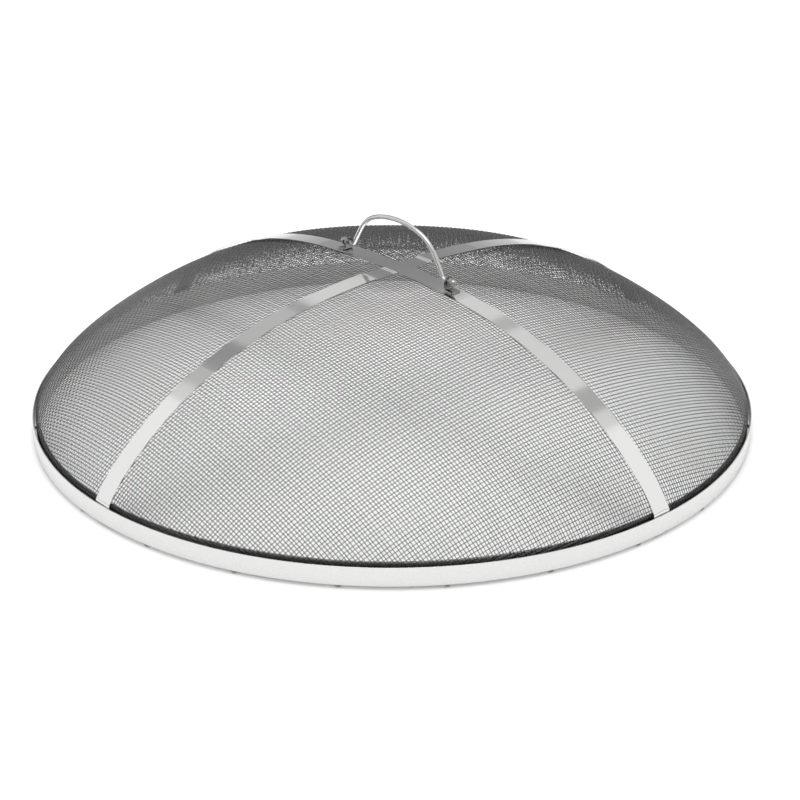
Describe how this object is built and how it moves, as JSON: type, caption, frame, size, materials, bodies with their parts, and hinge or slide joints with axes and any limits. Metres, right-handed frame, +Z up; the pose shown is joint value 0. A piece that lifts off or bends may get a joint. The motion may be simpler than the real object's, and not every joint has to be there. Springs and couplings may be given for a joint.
{
  "type": "fire pit spark screen",
  "caption": "Domed spark screen for a round fire pit: woven wire cloth in a steel rim, crossed flat straps over the dome, and a wire bail handle that swings to either side.",
  "frame": {"origin": "on the dome's axis, in the plane that the rim stands on", "axes": "+Z up; +X along the upper strap, which carries the handle; +Y along the lower strap, which runs 9 mm beside the axis"},
  "size_m": [0.9143, 0.9144, 0.265],
  "materials": {
    "band": "rolled stainless strip, satin, with drawn lines along it",
    "ring": "rolled stainless strip, satin",
    "weld": "raw weld beads with brown and blue heat tint",
    "cloth": "drawn stainless wire, plain weave",
    "strap": "cold-rolled stainless strip, fine lines along it",
    "lug": "cut and bent stainless plate, satin",
    "rod": "drawn stainless rod, polished",
    "fastener": "polished stainless fasteners"
  },
  "bodies": {
    "screen": {"rim_band": "band", "inner_ring": "ring", "rim_tack_welds": "weld", "wire_cloth_dome": "cloth", "lower_strap": "strap", "upper_strap": "strap", "lug_left": "lug", "lug_right": "lug", "lug_weld_beads": "weld"},
    "handle": {"handle_rod": "rod", "handle_washers": "fastener", "cap_nuts": "fastener"}
  },
  "joints": [
    {"name": "handle_swing", "type": "hinge", "parent": "screen", "child": "handle", "pos_m": [0.01, 0, 0.2075], "axis": [1, 0, 0], "range_deg": [-94, 94]}
  ]
}
